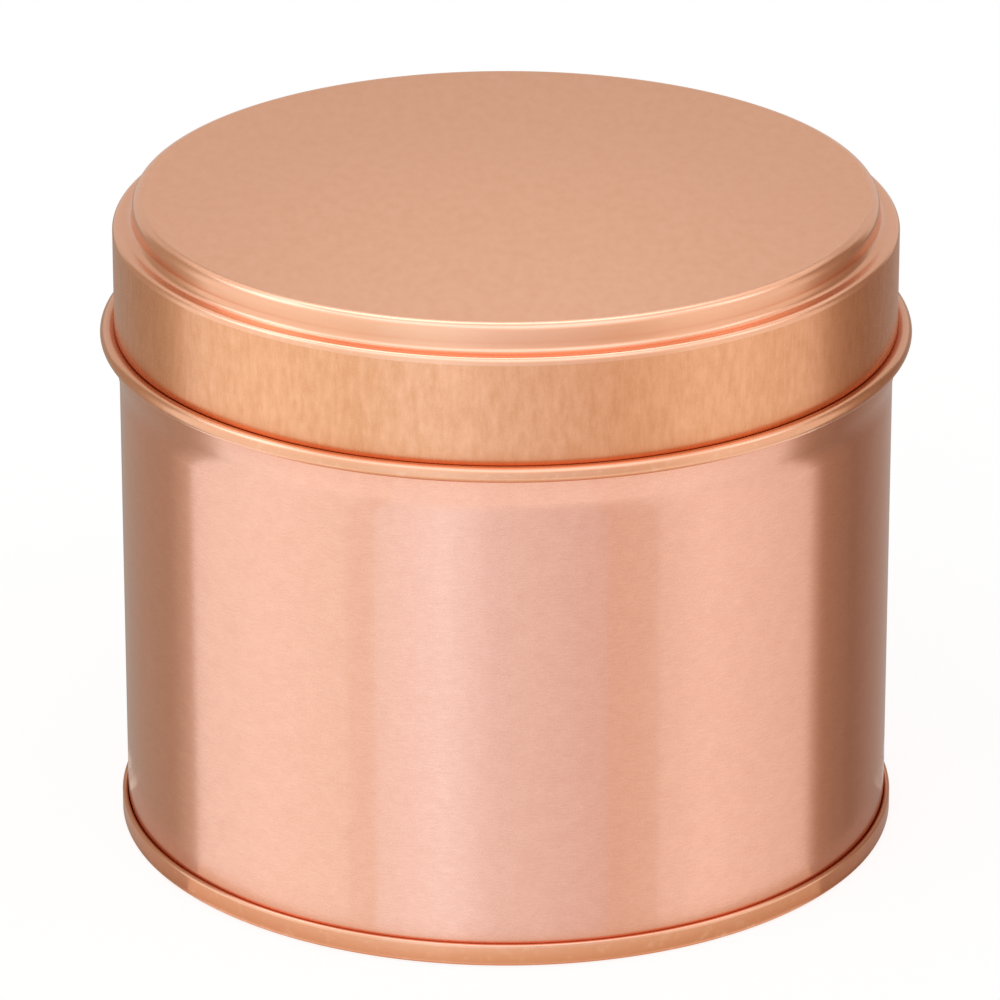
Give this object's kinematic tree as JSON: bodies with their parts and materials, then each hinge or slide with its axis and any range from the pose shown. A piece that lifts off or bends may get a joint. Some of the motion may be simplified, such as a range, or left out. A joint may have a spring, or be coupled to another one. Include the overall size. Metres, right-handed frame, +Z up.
{
  "type": "spice tin",
  "caption": "Round copper-coloured metal tin with a seamed base, a beaded neck and a stepped slip-on lid that lifts off, for dry spices.",
  "frame": {"origin": "on the tin's axis, in the plane that it stands on", "axes": "+Z up along the axis, from the base to the lid; the lap weld of the body faces +Y and the picture looks from -Y"},
  "size_m": [0.0808, 0.0808, 0.066],
  "materials": {
    "body_lacquer": "tinplate under a clear copper-pink lacquer, finely brushed round the wall",
    "base_lacquer": "tinplate under a clear copper lacquer, satin",
    "seam_compound": "dried sealing compound, matt",
    "lid_lacquer": "tinplate under a clear copper lacquer, satin with a fine drawn grain"
  },
  "bodies": {
    "tin": {"body": "body_lacquer", "base_end": "base_lacquer", "seam_compound": "seam_compound"},
    "lid": {"lid": "lid_lacquer"}
  },
  "joints": [
    {"name": "lid_lift", "type": "slide", "parent": "tin", "child": "lid", "axis": [0, 0, 1], "range_m": [0, 0.04]}
  ]
}
